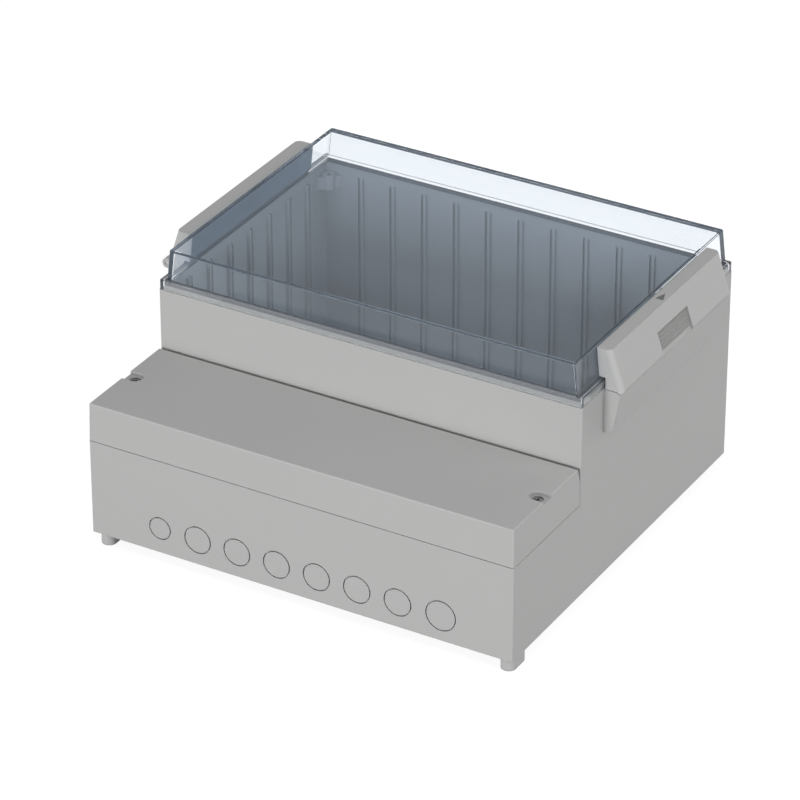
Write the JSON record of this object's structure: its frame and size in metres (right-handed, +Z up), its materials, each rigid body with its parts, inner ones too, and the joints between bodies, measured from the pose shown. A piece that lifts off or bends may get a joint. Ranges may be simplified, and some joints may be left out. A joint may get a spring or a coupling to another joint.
{
  "type": "controller enclosure",
  "caption": "Stepped plastic enclosure with a tall electronics compartment under a hinged clear lid with a closing strip, and a low terminal compartment with a screwed cover and knock-outs",
  "frame": {"origin": "Under the middle of the base, with the feet on z = 0. The hinge barrel stands out 4 mm further than the closing strip, so the middle of the bounding box lies 2 mm to the left.", "axes": "+X to the right along the knock-out row, +Y to the back, away from the terminal compartment, +Z up."},
  "size_m": [0.3339, 0.29, 0.1716],
  "materials": {
    "housing": "fine moulded texture",
    "cover": "fine moulded texture",
    "lid": "clear, lightly smoked",
    "gasket": "matt foam",
    "strip": "fine moulded texture",
    "pin": "drawn",
    "screw": "plated",
    "insert": "turned"
  },
  "bodies": {
    "base": {"base_housing": "housing", "hinge_pin": "pin", "terminal_cover": "cover", "cover_gasket": "gasket", "cover_screw_left": "screw", "cover_screw_right": "screw", "threaded_insert_left": "insert", "threaded_insert_right": "insert"},
    "lid": {"transparent_lid": "lid", "lid_gasket": "gasket", "hinge_strip": "strip"},
    "closing_strip": {"closing_strip": "strip"}
  },
  "joints": [
    {"name": "lid_hinge", "type": "hinge", "parent": "base", "child": "lid", "pos_m": [-0.1654, 0.0442, 0.1446], "axis": [0, -1, 0], "range_deg": [0, 100]},
    {"name": "closing_strip_turn", "type": "hinge", "parent": "base", "child": "closing_strip", "pos_m": [0.1628, 0.0442, 0.1437], "axis": [0, 1, 0], "range_deg": [0, 30]}
  ]
}
